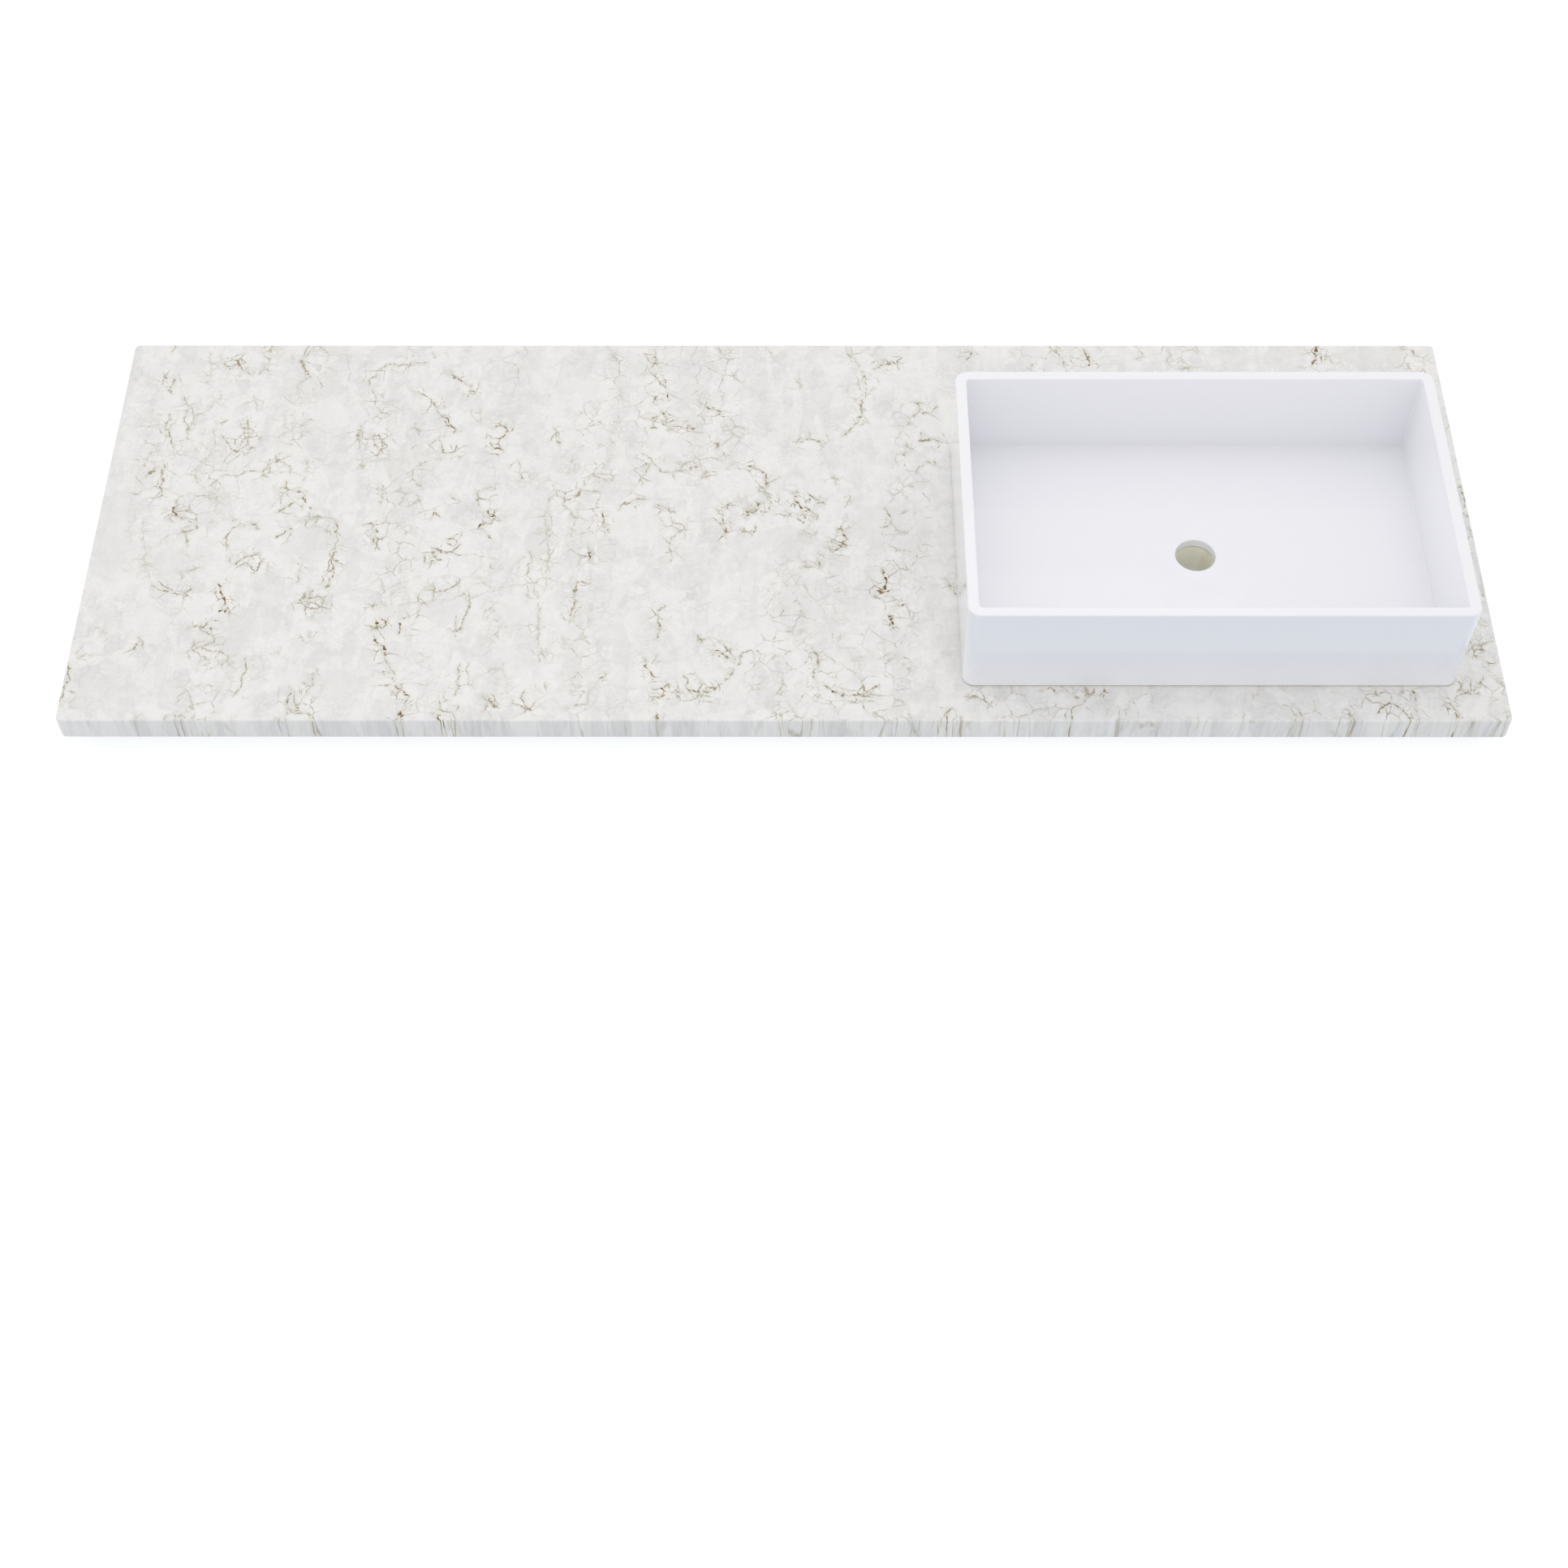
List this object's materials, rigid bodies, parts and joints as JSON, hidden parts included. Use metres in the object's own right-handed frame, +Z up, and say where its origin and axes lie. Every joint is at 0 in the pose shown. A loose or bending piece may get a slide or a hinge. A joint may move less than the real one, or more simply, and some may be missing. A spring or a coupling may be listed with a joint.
{
  "type": "vanity sink top",
  "caption": "Long engineered stone vanity top with eased edges and a white rectangular basin standing on its right half, with drain bore, tap hole and plywood underlay rails.",
  "frame": {"origin": "under the middle of the slab, at the height of the underlay rails' lower face", "axes": "+X along the slab to the basin's end, +Y from the front edge to the wall, +Z up"},
  "size_m": [1.5494, 0.5588, 0.169],
  "materials": {
    "stone": "polished, warm white with grey-brown crackle veins",
    "basin": "smooth gloss white",
    "sealant": "satin, milky grey",
    "plywood": "sawn"
  },
  "bodies": {
    "root": {"stone_top": "stone", "basin": "basin", "basin_sealant_bead": "sealant", "drain_seal_ring": "sealant", "drain_backing_plate": "stone", "front_underlay_rail": "plywood", "back_underlay_rail": "plywood", "left_underlay_rail": "plywood", "right_underlay_rail": "plywood", "basin_cross_rail": "plywood", "bare_side_cross_rail": "plywood"}
  },
  "joints": []
}
